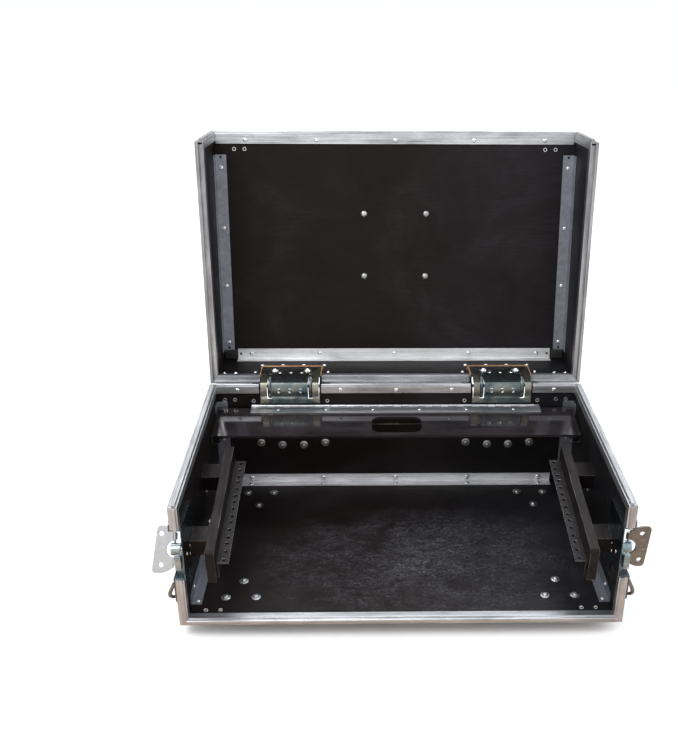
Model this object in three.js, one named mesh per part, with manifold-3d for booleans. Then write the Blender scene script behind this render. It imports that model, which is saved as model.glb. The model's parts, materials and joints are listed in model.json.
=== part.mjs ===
// Slant-top 5U equipment rack case with its lid open: a shallow plywood base and a wedge-shaped
// lid, both open at the front, edged in aluminium extrusion. Inside are two sloping rack rails
// and a hinged cable flap; two recessed stay hinges carry the lid, and a recessed butterfly
// latch sits at the front edge of each side wall. Millimetres, X right, Y to the back, Z up.
import * as THREE from 'three';
import { mergeVertices } from 'three/addons/utils/BufferGeometryUtils.js';
import Module from 'manifold-3d';

const wasm = await Module();
wasm.setup();

// ---------------------------------------------------------------- driving dimensions
const WIDTH = 590;            // outside width of base and lid
const DEPTH = 372;            // outside depth of base and lid
const BASE_H = 183;           // base, underside to rim plane
const LID_REAR = 107;         // lid, rim plane to top, at the back
const LID_FRONT = 135;        // lid, rim plane to top, at the front
const RIM_GAP = 1;            // closed rims stand this far apart
const SKIN = 1.2;             // wall of the outer extrusions
const PANEL_OUT = 1.5;        // panel face below the outside face
const WALL = 10;              // outside face to inner panel face
const LEG = 28;               // outer leg of every edge extrusion
const GAP = 0.3;              // air between touching pieces
const FOOT_H = 20;            // rubber feet
const FOOT_R = 30;
const FOOT_X = 218.5;
const FOOT_Y = [60, 313];
const CENTRE_Y = 270.5;       // middle of the open case, front to back

const OPEN_ANGLE = 95;        // lid resting on its stays
const HINGE_Y = DEPTH + 2;    // lid pivot
const HINGE_Z = BASE_H - 5;
const DISH_X = 167.3;         // middle of each stay hinge
const PAN_HALF = 47;          // half the width of its pan
const PAN_DEPTH = 16;
const BARREL_R = 22;          // curved hinge plate round the pivot

const UNIT = 44.45;           // one rack unit
const RACK_UNITS = 5;
const HOLE_STEPS = [6.35, 22.225, 38.1];
const HOLE_X = 232.55;        // half the 465.1 hole spacing
const RAIL_SLOPE = 7.6;       // degrees, front edge lower
const RAIL_FRONT = [13.8, 90.3];
const RAIL_LIP = 16.3;
const RAIL_LEG = 26;
const RAIL_T = 2;
const RAIL_EDGE = 226.1;      // inner edge of the rail
const BATTEN_T = 12;

const FLAP_SLOPE = 9.8;       // degrees, front edge lower
const FLAP_FRONT = 284;
const FLAP_REAR = 355.5;
const FLAP_T = 4.5;
const FLAP_HALF = 281.5;
const FLAP_AXIS = [358.7, 150.6];
const PIANO_HALF = 229;
const KNUCKLE = 12.5;
const KNUCKLE_R = 2.2;

const SPINDLE_Y = 35.5;       // latch spindle
const SPINDLE_Z = 98;
const WING_X = 298.3;         // pivot line of the folding wing
const WING_REACH = 30;
const WING_HALF = 31;
const WING_REACHES = { right: [25, WING_REACH], left: [WING_REACH, 23] };   // low and high end
const LEFT_TURN = 33;         // left latch stands part-turned
const HOOK_TRAVEL = 12;       // per half turn

const HALF = WIDTH / 2;
const LID_Z = BASE_H + RIM_GAP;
const LID_RISE = (LID_FRONT - LID_REAR) / DEPTH;
const rad = THREE.MathUtils.degToRad;

// ---------------------------------------------------------------- materials
function look(color, roughness, metalness) {
  return new THREE.MeshStandardMaterial({ color, roughness, metalness });
}
const PLY = look(0x1d1918, 0.45, 0);
const PAINTED = look(0x27211f, 0.5, 0);
const GLOSS = look(0x1a1719, 0.15, 0);
const ALUMINIUM = look(0xb4b6b9, 0.35, 1);
const ZINC = look(0x9aa9b4, 0.3, 1);
const STEEL = look(0x4d474a, 0.5, 0.6);
const RUBBER = look(0x161616, 0.8, 0);

// ---------------------------------------------------------------- geometry helpers
function toSolid(geometry) {
  const bare = geometry.index ? geometry.clone() : geometry;
  bare.deleteAttribute('normal');
  bare.deleteAttribute('uv');
  const merged = mergeVertices(bare, 1e-4);
  return new wasm.Manifold(new wasm.Mesh({
    numProp: 3,
    vertProperties: new Float32Array(merged.attributes.position.array),
    triVerts: new Uint32Array(merged.index.array),
  }));
}

function toGeometry(solid) {
  const data = solid.getMesh();
  const geometry = new THREE.BufferGeometry();
  geometry.setAttribute('position', new THREE.BufferAttribute(data.vertProperties, 3));
  geometry.setIndex(new THREE.BufferAttribute(data.triVerts, 1));
  geometry.computeVertexNormals();
  return geometry;
}

function join(...geometries) {
  const solids = geometries.map(toSolid);
  return toGeometry(solids.reduce((all, next) => all.add(next)));
}

function cut(geometry, ...tools) {
  const solids = tools.map(toSolid);
  return toGeometry(solids.reduce((rest, tool) => rest.subtract(tool), toSolid(geometry)));
}

function common(a, b) {
  return toGeometry(toSolid(a).intersect(toSolid(b)));
}

// The mirror image across X = 0, with its faces still pointing out.
function mirrored(geometry) {
  const copy = geometry.clone();
  copy.deleteAttribute('normal');
  copy.deleteAttribute('uv');
  const flipped = mergeVertices(copy, 1e-4).scale(-1, 1, 1);
  const index = flipped.index.array;
  for (let i = 0; i < index.length; i += 3) {
    [index[i + 1], index[i + 2]] = [index[i + 2], index[i + 1]];
  }
  flipped.computeVertexNormals();
  return flipped;
}

function box(x0, x1, y0, y1, z0, z1) {
  const geometry = new THREE.BoxGeometry(x1 - x0, y1 - y0, z1 - z0);
  return geometry.translate((x0 + x1) / 2, (y0 + y1) / 2, (z0 + z1) / 2);
}

function outline(points) {
  return new THREE.Shape(points.map(([a, b]) => new THREE.Vector2(a, b)));
}

function extruded(shape, depth, segments = 8) {
  return new THREE.ExtrudeGeometry(shape, { depth, bevelEnabled: false, curveSegments: segments });
}

// An outline in (y, z) drawn out from x0 to x1.
function prismX(shape, x0, x1, segments) {
  const turn = new THREE.Matrix4().set(0, 0, 1, x0, 1, 0, 0, 0, 0, 1, 0, 0, 0, 0, 0, 1);
  return extruded(shape, x1 - x0, segments).applyMatrix4(turn);
}

// An outline in (x, z) drawn out from y0 to y1.
function prismY(shape, y0, y1, segments) {
  const turn = new THREE.Matrix4().set(1, 0, 0, 0, 0, 0, -1, y1, 0, 1, 0, 0, 0, 0, 0, 1);
  return extruded(shape, y1 - y0, segments).applyMatrix4(turn);
}

// An outline in (x, y) drawn out from z0 to z1.
function prismZ(shape, z0, z1, segments) {
  return extruded(shape, z1 - z0, segments).translate(0, 0, z0);
}

function rounded(x0, x1, y0, y1, r) {
  const shape = new THREE.Shape();
  shape.moveTo(x0 + r, y0);
  shape.lineTo(x1 - r, y0);
  shape.absarc(x1 - r, y0 + r, r, -Math.PI / 2, 0);
  shape.lineTo(x1, y1 - r);
  shape.absarc(x1 - r, y1 - r, r, 0, Math.PI / 2);
  shape.lineTo(x0 + r, y1);
  shape.absarc(x0 + r, y1 - r, r, Math.PI / 2, Math.PI);
  shape.lineTo(x0, y0 + r);
  shape.absarc(x0 + r, y0 + r, r, Math.PI, Math.PI * 1.5);
  return shape;
}

// An outline through corner points whose corners are rounded by r, or by less where an edge is short.
function softened(points, r) {
  const corners = points.map(([x, y]) => new THREE.Vector2(x, y));
  const shape = new THREE.Shape();
  corners.forEach((corner, i) => {
    const before = corners.at(i - 1);
    const after = corners[(i + 1) % corners.length];
    const cutBack = (other) => Math.min(r, corner.distanceTo(other) * 0.45);
    const enter = corner.clone().add(before.clone().sub(corner).setLength(cutBack(before)));
    const leave = corner.clone().add(after.clone().sub(corner).setLength(cutBack(after)));
    if (i === 0) shape.moveTo(enter.x, enter.y);
    else shape.lineTo(enter.x, enter.y);
    shape.quadraticCurveTo(corner.x, corner.y, leave.x, leave.y);
  });
  shape.closePath();
  return shape;
}

function circleHole(x, y, r) {
  const hole = new THREE.Path();
  hole.absarc(x, y, r, 0, Math.PI * 2, true);
  return hole;
}

function rodX(r, x0, x1, y, z, sides = 16) {
  const rod = new THREE.CylinderGeometry(r, r, x1 - x0, sides);
  return rod.rotateZ(Math.PI / 2).translate((x0 + x1) / 2, y, z);
}

function rodZ(r, z0, z1, x, y, sides = 16) {
  const rod = new THREE.CylinderGeometry(r, r, z1 - z0, sides);
  return rod.rotateX(Math.PI / 2).translate(x, y, (z0 + z1) / 2);
}

// Part of a tube round the X axis through (y, z), between two angles measured from -Y to +Z.
function arcX(inner, outer, from, to, x0, x1, y, z) {
  const steps = 10;
  const points = [];
  for (let i = 0; i <= steps; i += 1) {
    const a = rad(from + (to - from) * i / steps);
    points.push([y - outer * Math.cos(a), z + outer * Math.sin(a)]);
  }
  for (let i = steps; i >= 0; i -= 1) {
    const a = rad(from + (to - from) * i / steps);
    points.push([y - inner * Math.cos(a), z + inner * Math.sin(a)]);
  }
  return prismX(outline(points), x0, x1);
}

// A straight bar: a profile of (s, h) points swept along t, whose ends may be mitred.
// s runs inwards from the outside face and h outwards from the rim plane; place maps
// (s, h, t) to a point, and from and to give the end of the bar at each (s, h).
function bar(profile, place, from, to) {
  const ring = profile.map(([s, h]) => new THREE.Vector2(s, h));
  if (THREE.ShapeUtils.isClockWise(ring)) ring.reverse();
  const faces = THREE.ShapeUtils.triangulateShape(ring, []);
  const count = ring.length;
  const points = [];
  for (const end of [from, to]) {
    for (const { x: s, y: h } of ring) points.push(place(s, h, end(s, h)));
  }
  const index = [];
  for (const [a, b, c] of faces) index.push(a, c, b, a + count, b + count, c + count);
  for (let i = 0; i < count; i += 1) {
    const j = (i + 1) % count;
    index.push(i, j, j + count, i, j + count, i + count);
  }
  const geometry = new THREE.BufferGeometry();
  geometry.setAttribute('position', new THREE.Float32BufferAttribute(points.flat(), 3));
  geometry.setIndex(index);
  if (signedVolume(geometry) < 0) {
    for (let i = 0; i < index.length; i += 3) {
      [index[i + 1], index[i + 2]] = [index[i + 2], index[i + 1]];
    }
    geometry.setIndex(index);
  }
  return geometry;
}

function signedVolume(geometry) {
  const at = geometry.attributes.position;
  const index = geometry.index.array;
  const corner = (i) => new THREE.Vector3().fromBufferAttribute(at, index[i]);
  let volume = 0;
  for (let i = 0; i < index.length; i += 3) {
    volume += corner(i).dot(corner(i + 1).cross(corner(i + 2)));
  }
  return volume;
}

// ---------------------------------------------------------------- rim extrusions
const TONGUE = [5.5, 10.5];
const TONGUE_H = 4;
const REAR_TONGUE = [5, 8.8];
const REAR_TONGUE_H = 3;
const BASE_INNER = 12.3;      // inner leg of the base rim ends here
const LID_INNER = 12.6;
const WEB = 2;
const GROOVE_WEB = 7;         // the lid rim's web lies this deep behind its groove
const male = (innerLeg) => [[0, -LEG], [0, -1.2], [0.4, -0.4], [1.2, 0], [BASE_INNER, 0],
  [BASE_INNER, -innerLeg], [WALL + GAP, -innerLeg], [WALL + GAP, -WEB], [SKIN, -WEB], [SKIN, -LEG]];
const MALE = male(11);
const LID_FRONT_MALE = male(15.5);   // the lid's front rim has a longer inner leg
const FEMALE = [[0, -LEG], [0, -1.2], [0.4, -0.4], [1.2, 0], [4.8, 0], [4.8, -5], [11.2, -5],
  [11.2, 0], [LID_INNER, 0], [LID_INNER, -13], [WALL + GAP, -13], [WALL + GAP, -GROOVE_WEB],
  [SKIN, -GROOVE_WEB], [SKIN, -LEG]];
const OPEN_FEMALE = [[0, -LEG], [0, -1.2], [0.4, -0.4], [1.2, 0], [3.7, 0], [3.7, -5],
  [LID_INNER, -5], [LID_INNER, -13], [WALL + GAP, -13], [WALL + GAP, -GROOVE_WEB],
  [SKIN, -GROOVE_WEB], [SKIN, -LEG]];
const MITRE = 0.2;

function tongueBar(range, height, place, from, to) {
  const profile = [[range[0], -1], [range[0], height - 0.8], [range[0] + 0.8, height],
    [range[1] - 0.8, height], [range[1], height - 0.8], [range[1], -1]];
  return bar(profile, place, () => from, () => to);
}

const LATCH_TOP = 149.6;      // upper front rim starts above the latch
const LATCH_BOTTOM = 73.5;    // lower front rim stops below it

// Right-hand rim of the base: the side's top run and the front run above the latch, mitred.
function baseSideRim() {
  const top = (s, h, t) => [HALF - s, t, BASE_H + h];
  const front = (s, h, t) => [HALF - s, -h, t];
  return join(
    bar(MALE, top, (s, h) => -h, (s) => DEPTH - s - MITRE),
    tongueBar(TONGUE, TONGUE_H, top, 0, DEPTH - TONGUE[1] - MITRE),
    bar(MALE, front, () => LATCH_TOP, (s, h) => BASE_H + h),
    tongueBar(TONGUE, TONGUE_H, front, LATCH_TOP, BASE_H),
  );
}

function baseLowerFrontRim() {
  const place = (s, h, t) => [HALF - s, -h, t];
  return join(
    bar(MALE, place, (s) => s + MITRE, () => LATCH_BOTTOM),
    tongueBar(TONGUE, TONGUE_H, place, TONGUE[1] + MITRE, LATCH_BOTTOM),
  );
}

function baseSillRim() {
  const place = (s, h, t) => [t, -h, s];
  const end = HALF - TONGUE[1] - MITRE;
  return join(
    bar(MALE, place, (s) => s + MITRE - HALF, (s) => HALF - s - MITRE),
    tongueBar(TONGUE, TONGUE_H, place, -end, end),
  );
}

const DISH_CLEAR = PAN_HALF + 2;
const REAR_SPANS = {
  left: [null, -DISH_X - DISH_CLEAR],
  mid: [-DISH_X + DISH_CLEAR, DISH_X - DISH_CLEAR],
  right: [DISH_X + DISH_CLEAR, null],
};

// One run of a rear rim: an open end is mitred into the side rim.
function rearRun([x0, x1], profile, place) {
  const from = (s) => (x0 === null ? s + MITRE - HALF : x0);
  const to = (s) => (x1 === null ? HALF - s - MITRE : x1);
  return bar(profile, place, from, to);
}

function baseRearRim(span) {
  const place = (s, h, t) => [t, DEPTH - s, BASE_H + h];
  const inner = HALF - REAR_TONGUE[1] - MITRE - 2;
  const x0 = span[0] === null ? -inner : span[0];
  const x1 = span[1] === null ? inner : span[1];
  return join(rearRun(span, MALE, place),
    tongueBar(REAR_TONGUE, REAR_TONGUE_H, place, x0, x1));
}

function lidTop(y) {
  return LID_Z + LID_FRONT - y * LID_RISE;
}

// Right-hand rim of the lid: a grooved run along the side and a tongued run up the front.
function lidSideRim() {
  const low = (s, h, t) => [HALF - s, t, LID_Z - h];
  const front = (s, h, t) => [HALF - s, -h, t];
  const runs = join(
    bar(FEMALE, low, (s, h) => -h, (s) => DEPTH - s - MITRE),
    bar(MALE, front, (s, h) => LID_Z - h, (s, h) => lidTop(-h) - s - MITRE),
    tongueBar(TONGUE, TONGUE_H, front, LID_Z, lidTop(0) - TONGUE[1] - MITRE),
  );
  const notch = box(HALF - TONGUE[1] - 0.7, HALF - TONGUE[0] + 0.7, -9, 6, LID_Z - 1, LID_Z + 5);
  return cut(runs, notch);
}

function lidFrontRim() {
  const place = (s, h, t) => [t, -h, lidTop(-h) - s];
  const end = HALF - TONGUE[1] - MITRE;
  return join(
    bar(LID_FRONT_MALE, place, (s) => s + MITRE - HALF, (s) => HALF - s - MITRE),
    tongueBar(TONGUE, TONGUE_H, place, -end, end),
  );
}

function lidRearRim(span) {
  const place = (s, h, t) => [t, DEPTH - s, LID_Z - h];
  return rearRun(span, OPEN_FEMALE, place);
}

// ---------------------------------------------------------------- base panels
const IN_X = HALF - WALL;     // inner faces of the side walls
const IN_Y = DEPTH - WALL;    // inner face of the rear wall
const PAN_FLOOR = 281;        // latch pan, innermost face
const PAN_REAR = 72;
const PAN_LOW = 50;
const PAN_TOP = 148;
const PAN_STEP_Y = LEG + 2;   // in front of this the pan stops short above the lower rim
const HINGE_PAN_LOW = 100;
const PAN_STEP_Z = 158;       // the hinge pan is shallow below this

function baseFloor() {
  const x = IN_X - GAP;
  return box(-x, x, WEB + GAP, IN_Y - GAP, PANEL_OUT, WALL);
}

function baseSideWall() {
  const y0 = WEB + GAP;
  const y1 = DEPTH - PANEL_OUT;
  const top = BASE_H - WEB - GAP;
  const cutY = PAN_REAR + SKIN + GAP;
  const low = PAN_LOW - SKIN - GAP;
  const high = PAN_TOP + SKIN + GAP;
  const step = LATCH_BOTTOM;
  const wall = outline([[y0, PANEL_OUT], [y1, PANEL_OUT], [y1, top], [y0, top], [y0, high],
    [cutY, high], [cutY, low], [PAN_STEP_Y - SKIN - GAP, low],
    [PAN_STEP_Y - SKIN - GAP, step], [y0, step]]);
  return prismX(wall, IN_X, HALF - PANEL_OUT);
}

function panNotch(x, z0, z1) {
  const half = PAN_HALF + GAP + SKIN;
  return box(x - half, x + half, IN_Y - 1, DEPTH, z0, z1);
}

function baseRearWall() {
  const x = IN_X - GAP;
  const wall = box(-x, x, IN_Y, DEPTH - PANEL_OUT, PANEL_OUT, BASE_H - WEB - GAP);
  const low = HINGE_PAN_LOW - SKIN - GAP;
  return cut(wall, panNotch(-DISH_X, low, BASE_H), panNotch(DISH_X, low, BASE_H));
}

// Outer corner angles: the skin of the box, kept only along its closed edges.
function baseEdgeAngles() {
  const outer = box(-HALF, HALF, 0, DEPTH, 0, BASE_H);
  const x = HALF - SKIN;
  const inner = box(-x, x, SKIN, DEPTH - SKIN, SKIN, BASE_H + 1);
  const start = LEG + GAP;
  const keep = join(
    box(HALF - LEG, HALF + 1, start, DEPTH + 1, -1, LEG),
    box(-HALF - 1, LEG - HALF, start, DEPTH + 1, -1, LEG),
    box(-HALF - 1, HALF + 1, DEPTH - LEG, DEPTH + 1, -1, LEG),
    box(HALF - LEG, HALF + 1, DEPTH - LEG, DEPTH + 1, -1, BASE_H - start),
    box(-HALF - 1, LEG - HALF, DEPTH - LEG, DEPTH + 1, -1, BASE_H - start),
  );
  return common(cut(outer, inner), keep);
}

// ---------------------------------------------------------------- base inner angles
const ANGLE_T = 1.5;
const SIDE_LEG = 17.7;
const FLOOR_LEG = 15;
const REAR_LEG = 15;

function floorSideAngle() {
  const x = IN_X - GAP;
  const z = WALL + GAP;
  const section = outline([[x - FLOOR_LEG, z], [x, z], [x, z + FLOOR_LEG], [x - ANGLE_T, z + FLOOR_LEG],
    [x - ANGLE_T, z + ANGLE_T], [x - FLOOR_LEG, z + ANGLE_T]]);
  return prismY(section, 31, 342);
}

function floorRearAngle() {
  const y = IN_Y - GAP;
  const z = WALL + GAP;
  const section = outline([[y - REAR_LEG, z], [y, z], [y, z + REAR_LEG], [y - ANGLE_T, z + REAR_LEG],
    [y - ANGLE_T, z + ANGLE_T], [y - REAR_LEG, z + ANGLE_T]]);
  return prismX(section, -256, 256);
}

function cornerAngle() {
  const x = IN_X - GAP;
  const y = IN_Y - GAP;
  const section = outline([[x, y], [x - SIDE_LEG, y], [x - SIDE_LEG, y - ANGLE_T],
    [x - ANGLE_T, y - ANGLE_T], [x - ANGLE_T, y - SIDE_LEG], [x, y - SIDE_LEG]]);
  return prismZ(section, 32, 157);
}

// ---------------------------------------------------------------- rack rails and battens
// Both are drawn level, with their front end at the origin, then tilted and set in place.
function tilted(geometry) {
  return geometry.rotateX(rad(RAIL_SLOPE)).translate(0, RAIL_FRONT[0], RAIL_FRONT[1]);
}

function rackRail() {
  const length = RACK_UNITS * UNIT;
  const outer = RAIL_EDGE + RAIL_LIP;
  const lip = outline([[RAIL_EDGE, 0], [outer, 0], [outer, length], [RAIL_EDGE, length]]);
  for (let unit = 0; unit < RACK_UNITS; unit += 1) {
    for (const step of HOLE_STEPS) {
      lip.holes.push(circleHole(HOLE_X, unit * UNIT + step, 2.7));
    }
  }
  const leg = box(outer - RAIL_T, outer, 0, length, -RAIL_LEG, 0);
  return tilted(join(prismZ(lip, -RAIL_T, 0, 6), leg));
}

const BATTEN_START = -7;
const BATTEN_END = RACK_UNITS * UNIT + 6;
const BATTEN_TOP = 22.5;
const BATTEN_LOW = -27.5;
const BLOCKS = [[32, 62], [170, 202]];   // spacers to the side wall: front, rear

function railBatten() {
  const x0 = RAIL_EDGE + RAIL_LIP + GAP;
  const x1 = x0 + BATTEN_T;
  const side = new THREE.Shape();
  side.moveTo(BATTEN_START, BATTEN_LOW);
  side.lineTo(BATTEN_END, BATTEN_LOW);
  side.lineTo(BATTEN_END, BATTEN_TOP);
  side.lineTo(BATTEN_START + 7, BATTEN_TOP);
  side.quadraticCurveTo(BATTEN_START, BATTEN_TOP, BATTEN_START, BATTEN_TOP - 7);
  const reach = [PAN_FLOOR - 0.5 - GAP, IN_X - GAP];
  const blocks = BLOCKS.map(([y0, y1], i) => box(x1 - 1, reach[i], y0, y1, -14, 10));
  return tilted(join(prismX(side, x0, x1, 6), ...blocks));
}

// ---------------------------------------------------------------- cable flap
// Drawn level with the pivot end at the origin and the top at z = 0.
const FLAP_LENGTH = (FLAP_REAR - FLAP_FRONT) / Math.cos(rad(FLAP_SLOPE));
const FLAP_REAR_Z = 148.3;

function onFlap(geometry) {
  return geometry.rotateX(rad(FLAP_SLOPE)).translate(0, FLAP_REAR, FLAP_REAR_Z);
}

function cableFlap() {
  const board = outline([[-FLAP_HALF, -FLAP_LENGTH], [FLAP_HALF, -FLAP_LENGTH], [FLAP_HALF, 0],
    [-FLAP_HALF, 0]]);
  board.holes.push(rounded(-38.5, 38.5, -64.5, -24.5, 13));
  return onFlap(prismZ(board, -FLAP_T, 0, 5));
}

function knuckles(offset, bore) {
  const [y, z] = FLAP_AXIS;
  const pieces = [];
  for (let x = -PIANO_HALF + offset * KNUCKLE; x < PIANO_HALF - KNUCKLE + 1; x += 2 * KNUCKLE) {
    pieces.push(rodX(KNUCKLE_R, x + 0.2, x + KNUCKLE - 0.2, y, z, 10));
  }
  const all = join(...pieces);
  return bore ? cut(all, rodX(1.3, -HALF, HALF, y, z, 8)) : all;
}

// The leaf seen on top of the flap; its lip bends up to the knuckles.
function flapHingeLeaf() {
  const leaf = onFlap(box(-PIANO_HALF, PIANO_HALF, -14.5, 1.5, GAP, 1.5));
  const near = FLAP_AXIS[1];
  const gaps = [];
  for (let x = -PIANO_HALF + KNUCKLE; x < PIANO_HALF - 1; x += 2 * KNUCKLE) {
    gaps.push(box(x - 0.2, x + KNUCKLE + 0.2, FLAP_REAR + 0.2, 362, near - 5, near + 5));
  }
  return cut(join(leaf, knuckles(0, true)), ...gaps);
}

const LEAF_T = 1.2;

function fixedHingeLeaf() {
  const [y, z] = FLAP_AXIS;
  const wall = IN_Y - GAP;
  const leaf = box(-PIANO_HALF + KNUCKLE, PIANO_HALF, wall - LEAF_T, wall, 128, z);
  const gaps = [];
  for (let x = -PIANO_HALF; x < PIANO_HALF - 1; x += 2 * KNUCKLE) {
    gaps.push(box(x - 0.2, x + KNUCKLE + 0.2, FLAP_REAR, 363, z - 4, z + 4));
  }
  const pin = rodX(0.9, -PIANO_HALF + 1, PIANO_HALF - 1, y, z, 8);
  return join(cut(leaf, ...gaps), knuckles(1, false), pin);
}

function rearSupport() {
  return box(-265, 265, 344, IN_Y - 2 * GAP - LEAF_T, 124, 140.5);
}

function sideCleat() {
  const x = IN_X - GAP;
  const under = (y) => FLAP_REAR_Z - (FLAP_REAR - y) * Math.tan(rad(FLAP_SLOPE)) - FLAP_T - 0.6;
  const side = outline([[292, 118], [340, 118], [340, under(340)], [292, under(292)]]);
  return prismX(side, x - 14, x);
}

// ---------------------------------------------------------------- stay hinges
// Drawn round x = 0 in closed-case coordinates. The pan is pressed in from outside; the
// curved plate follows the barrel round the pivot.
const ARM = [35.5, PAN_HALF - SKIN - GAP];
const PLATE_HALF = 28.6;
const FLANGE_OUT = DEPTH + GAP;
const LUG_X = [39.5, 42];

function panBlock(inset, y0, z0, z1) {
  const x = PAN_HALF - inset;
  return box(-x, x, y0, FLANGE_OUT + (inset ? 9 : SKIN), z0, z1);
}

function flange(z0, z1, low, high, hole) {
  const plate = rounded(-63.5, 63.5, low, high, 6);
  const shell = prismY(plate, FLANGE_OUT, FLANGE_OUT + SKIN, 3);
  return hole ? cut(shell, box(SKIN - PAN_HALF, PAN_HALF - SKIN, DEPTH - 1, DEPTH + 5, z0, z1)) : shell;
}

// The base pan is deep only beside the barrel; lower down it stays inside the wall.
function baseHingeDish() {
  const top = BASE_H - 10;
  const deep = DEPTH - PAN_DEPTH;
  const shell = join(panBlock(0, deep, PAN_STEP_Z - SKIN, top),
    panBlock(0, IN_Y, HINGE_PAN_LOW, PAN_STEP_Z));
  const hollow = join(panBlock(SKIN, deep + SKIN, PAN_STEP_Z, top + 1),
    panBlock(SKIN, IN_Y + SKIN, HINGE_PAN_LOW + SKIN, PAN_STEP_Z + 1));
  const inside = PAN_HALF - SKIN - 0.1;
  const barrel = rodX(BARREL_R + 0.4, -inside, inside, HINGE_Y, HINGE_Z, 48);
  const body = join(
    cut(shell, hollow, barrel),
    flange(HINGE_PAN_LOW + SKIN, BASE_H + 9, 66, BASE_H - 1, true),
  );
  const nose = (x0, x1) => arcX(BARREL_R + 0.4, BARREL_R + 1.6, -50, -8, x0, x1, HINGE_Y, HINGE_Z);
  const cheek = (x) => prismX(outline([[deep, PAN_STEP_Z], [DEPTH + 3, PAN_STEP_Z - 8],
    [HINGE_Y + 5, HINGE_Z - 3], [HINGE_Y + 5, HINGE_Z + 4], [HINGE_Y - 4, HINGE_Z + 4],
    [deep, 170]]), x - SKIN / 2, x + SKIN / 2);
  const pin = rodX(2.4, -PAN_HALF + 0.4, PAN_HALF - 0.4, HINGE_Y, HINGE_Z, 14);
  return join(body, nose(-PLATE_HALF, PLATE_HALF), nose(ARM[0], ARM[1]), nose(-ARM[1], -ARM[0]),
    cheek(PAN_HALF - SKIN / 2), cheek(SKIN / 2 - PAN_HALF), pin);
}

const LID_PAN_HIGH = LID_Z + 37;

function lidHingeDish() {
  const z0 = LID_Z + 2;
  const floorY = DEPTH - PAN_DEPTH;
  const body = join(
    cut(panBlock(0, floorY, z0, LID_PAN_HIGH),
      panBlock(SKIN, floorY + SKIN, z0 - 1, LID_PAN_HIGH - SKIN)),
    flange(LID_Z - 1, LID_PAN_HIGH - SKIN, LID_Z + 2, LID_PAN_HIGH + 34, true),
  );
  const a = rad(37 - OPEN_ANGLE);
  const rimY = HINGE_Y - BARREL_R * Math.cos(a);
  const rimZ = HINGE_Z + BARREL_R * Math.sin(a);
  const tail = (x0, x1) => {
    const web = prismX(outline([[floorY, z0 + 4], [floorY, z0], [rimY, rimZ],
      [rimY + 1.3, rimZ], [floorY + SKIN, z0 + 0.6], [floorY + SKIN, z0 + 4]]), x0, x1);
    const curl = arcX(BARREL_R - 1.4, BARREL_R, 37 - OPEN_ANGLE - 60, 38 - OPEN_ANGLE, x0, x1,
      HINGE_Y, HINGE_Z);
    return join(web, curl);
  };
  const lug = (x0, x1) => {
    const side = new THREE.Shape();
    side.moveTo(floorY + 0.4, z0 + 12);
    side.lineTo(floorY + 0.4, z0 + 1);
    side.lineTo(HINGE_Y - 5, HINGE_Z);
    side.absarc(HINGE_Y, HINGE_Z, 5, Math.PI, Math.PI * 2, false);
    side.lineTo(HINGE_Y + 5, HINGE_Z + 2);
    side.lineTo(DEPTH - 1, z0 + 12);
    side.holes.push(circleHole(HINGE_Y, HINGE_Z, 2.9));
    return prismX(side, x0, x1, 8);
  };
  return join(body, tail(-PLATE_HALF, PLATE_HALF), tail(ARM[0], ARM[1]), tail(-ARM[1], -ARM[0]),
    lug(LUG_X[0], LUG_X[1]), lug(-LUG_X[1], -LUG_X[0]));
}

// ---------------------------------------------------------------- lid panels and angles
// Under the lid's sloping top, a depth measured down from its outside face.
function lidUnder(y, depth) {
  return lidTop(y) - depth;
}

function lidPanel() {
  const y0 = WEB + GAP;
  const y1 = DEPTH - PANEL_OUT;
  const side = outline([[y0, lidUnder(y0, WALL)], [y1, lidUnder(y1, WALL)],
    [y1, lidUnder(y1, PANEL_OUT)], [y0, lidUnder(y0, PANEL_OUT)]]);
  return prismX(side, PANEL_OUT - HALF, HALF - PANEL_OUT);
}

const LID_WALL_Z = LID_Z + GROOVE_WEB + GAP;

function lidSideWall() {
  const y0 = WEB + GAP;
  const y1 = DEPTH - PANEL_OUT;
  const side = outline([[y0, LID_WALL_Z], [y1, LID_WALL_Z], [y1, lidUnder(y1, WALL + GAP)],
    [y0, lidUnder(y0, WALL + GAP)]]);
  return prismX(side, IN_X, HALF - PANEL_OUT);
}

function lidRearWall() {
  const x = IN_X - GAP;
  const y1 = DEPTH - PANEL_OUT;
  const side = outline([[IN_Y, LID_WALL_Z], [y1, LID_WALL_Z], [y1, lidUnder(y1, WALL + GAP)],
    [IN_Y, lidUnder(y1, WALL + GAP)]]);
  const high = LID_PAN_HIGH + GAP;
  return cut(prismX(side, -x, x), panNotch(-DISH_X, LID_Z, high), panNotch(DISH_X, LID_Z, high));
}

function lidEdgeAngles() {
  const wedge = (out, low) => prismX(outline([[-1, low], [DEPTH - out, low],
    [DEPTH - out, lidUnder(DEPTH, out)], [-1, lidUnder(-1, out)]]), out - HALF, HALF - out);
  const skin = cut(wedge(0, LID_Z), wedge(SKIN, LID_Z - 1));
  const start = LEG + GAP;
  const low = LID_Z + start;
  const high = LID_Z + LID_FRONT + 9;
  const topBand = (x0, x1) => prismX(outline([[start, lidUnder(start, LEG)],
    [DEPTH + 1, lidUnder(DEPTH, LEG)], [DEPTH + 1, high], [start, high]]), x0, x1);
  const keep = join(
    topBand(HALF - LEG, HALF + 1),
    topBand(-HALF - 1, LEG - HALF),
    box(-HALF - 1, HALF + 1, DEPTH - LEG, DEPTH + 1, LID_Z + LID_REAR - LEG, high),
    box(HALF - LEG, HALF + 1, DEPTH - LEG, DEPTH + 1, low, high),
    box(-HALF - 1, LEG - HALF, DEPTH - LEG, DEPTH + 1, low, high),
  );
  return common(skin, keep);
}

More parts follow.
